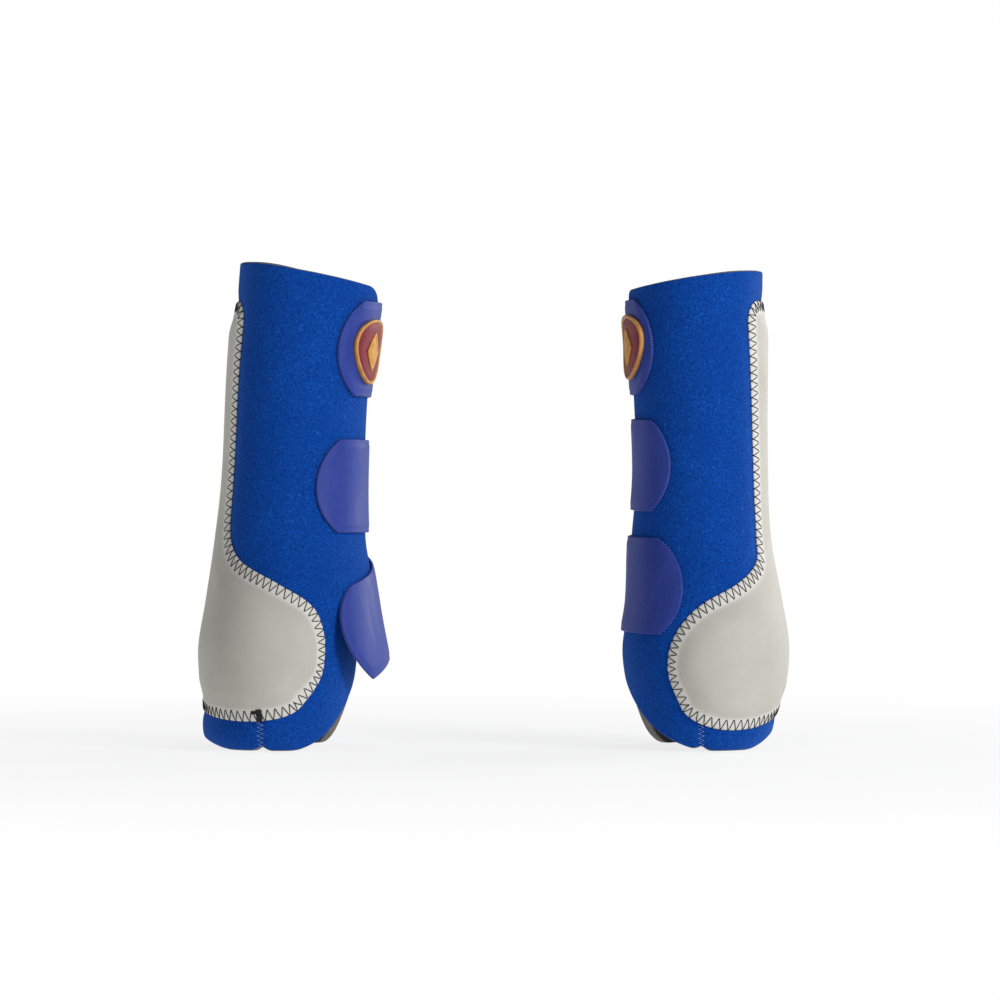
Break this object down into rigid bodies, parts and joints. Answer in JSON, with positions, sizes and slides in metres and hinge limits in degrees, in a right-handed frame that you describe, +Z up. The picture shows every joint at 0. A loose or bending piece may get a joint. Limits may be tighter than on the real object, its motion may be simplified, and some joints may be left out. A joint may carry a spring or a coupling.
{
  "type": "tendon boots",
  "caption": "Pair of neoprene tendon boots for a horse's front legs, with padded strike areas and hook tabs that wrap round and close on the shell.",
  "frame": {"origin": "on the floor, midway between the boots, at the middle of the pair's box", "axes": "+X from the left boot to the right boot as seen from behind the horse, +Y towards the front of the legs, +Z up the legs"},
  "size_m": [0.3378, 0.1204, 0.277],
  "materials": {
    "shell_pile": "brushed loop pile, matt with a soft sheen",
    "lining": "plain black knitted lining",
    "foam": "closed-cell foam",
    "pad_cover": "smooth matt synthetic suede",
    "dark_thread": "sewing thread",
    "light_thread": "sewing thread",
    "blue_thread": "sewing thread",
    "tab_band": "smooth matt moulded nylon hook band",
    "hook_tape": "moulded hooks",
    "badge_rim": "soft moulded rubber",
    "badge_field": "soft moulded rubber",
    "badge_emblem": "soft moulded rubber"
  },
  "bodies": {
    "left_shell": {"left_rear_panel": "shell_pile", "left_medial_panel": "shell_pile", "left_rear_lining": "lining", "left_medial_lining": "lining", "left_strike_pad_cover": "pad_cover", "left_strike_pad_foam": "foam", "left_pad_stitching": "dark_thread", "left_pad_bar_tack": "dark_thread", "left_seam_stitching": "light_thread"},
    "left_flap": {"left_front_flap": "shell_pile", "left_flap_lining": "lining", "left_tab_root_stitching": "blue_thread"},
    "left_top_strap": {"left_top_tab": "tab_band", "left_top_hooks": "hook_tape", "left_badge_base": "badge_rim", "left_badge_field": "badge_field", "left_badge_emblem": "badge_emblem"},
    "left_middle_strap": {"left_middle_tab": "tab_band", "left_middle_hooks": "hook_tape"},
    "left_lower_strap": {"left_lower_tab": "tab_band", "left_lower_hooks": "hook_tape"},
    "right_shell": {"right_rear_panel": "shell_pile", "right_medial_panel": "shell_pile", "right_rear_lining": "lining", "right_medial_lining": "lining", "right_strike_pad_cover": "pad_cover", "right_strike_pad_foam": "foam", "right_pad_stitching": "dark_thread", "right_seam_stitching": "light_thread"},
    "right_flap": {"right_front_flap": "shell_pile", "right_flap_lining": "lining", "right_tab_root_stitching": "blue_thread"},
    "right_top_strap": {"right_top_tab": "tab_band", "right_top_hooks": "hook_tape", "right_badge_base": "badge_rim", "right_badge_field": "badge_field", "right_badge_emblem": "badge_emblem"},
    "right_middle_strap": {"right_middle_tab": "tab_band", "right_middle_hooks": "hook_tape"},
    "right_lower_strap": {"right_lower_tab": "tab_band", "right_lower_hooks": "hook_tape"}
  },
  "joints": [
    {"name": "boots_apart", "type": "slide", "parent": "left_shell", "child": "right_shell", "axis": [1, 0, 0], "range_m": [0, 0.15]},
    {"name": "left_flap_fold", "type": "hinge", "parent": "left_shell", "child": "left_flap", "pos_m": [-0.12233, 0.06, 0], "axis": [0.0481, 0, 0.9988], "range_deg": [0, 85]},
    {"name": "left_top_strap_peel", "type": "hinge", "parent": "left_flap", "child": "left_top_strap", "pos_m": [-0.07657, 0.04557, 0.2271], "axis": [0.1002, -0.0003, 0.995], "range_deg": [0, 110]},
    {"name": "left_middle_strap_peel", "type": "hinge", "parent": "left_flap", "child": "left_middle_strap", "pos_m": [-0.08095, 0.04523, 0.149], "axis": [0.0067, 0.0177, 0.9998], "range_deg": [0, 110]},
    {"name": "left_lower_strap_peel", "type": "hinge", "parent": "left_flap", "child": "left_lower_strap", "pos_m": [-0.07959, 0.04457, 0.088], "axis": [0.0488, 0.0619, 0.9969], "range_deg": [0, 110]},
    {"name": "right_flap_fold", "type": "hinge", "parent": "right_shell", "child": "right_flap", "pos_m": [0.12045, 0.06, 0], "axis": [0.0143, 0, -0.9999], "range_deg": [0, 85]},
    {"name": "right_top_strap_peel", "type": "hinge", "parent": "right_flap", "child": "right_top_strap", "pos_m": [0.0853, 0.04545, 0.2285], "axis": [0.0465, 0.0007, -0.9989], "range_deg": [0, 110]},
    {"name": "right_middle_strap_peel", "type": "hinge", "parent": "right_flap", "child": "right_middle_strap", "pos_m": [0.08685, 0.04533, 0.1625], "axis": [-0.0084, -0.0081, -0.9999], "range_deg": [0, 110]},
    {"name": "right_lower_strap_peel", "type": "hinge", "parent": "right_flap", "child": "right_lower_strap", "pos_m": [0.08409, 0.04298, 0.0945], "axis": [-0.0621, -0.0606, -0.9962], "range_deg": [0, 110]}
  ]
}
